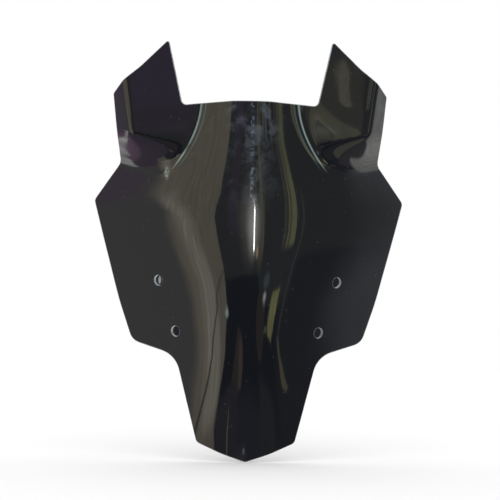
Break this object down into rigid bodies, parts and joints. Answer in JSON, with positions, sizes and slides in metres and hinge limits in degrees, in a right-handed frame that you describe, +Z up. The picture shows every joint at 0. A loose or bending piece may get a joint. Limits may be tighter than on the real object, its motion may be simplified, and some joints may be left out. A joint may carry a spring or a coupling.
{
  "type": "motorcycle windshield screen",
  "caption": "Dark smoked acrylic motorcycle windshield screen: a bulged formed sheet with upswept horns, waist notches, a pointed chin and drilled fixing holes.",
  "frame": {"origin": "centre of the four fixing holes, at the mean depth of their mouths on the windward face", "axes": "+Z up through the horns, X across with the symmetry plane at X = 0, -Y the way the windward face looks"},
  "size_m": [0.299, 0.0884, 0.3983],
  "materials": {
    "smoked_acrylic": "high gloss, near-black smoke tint, satin machined edges"
  },
  "bodies": {
    "root": {"screen": "smoked_acrylic"}
  },
  "joints": []
}
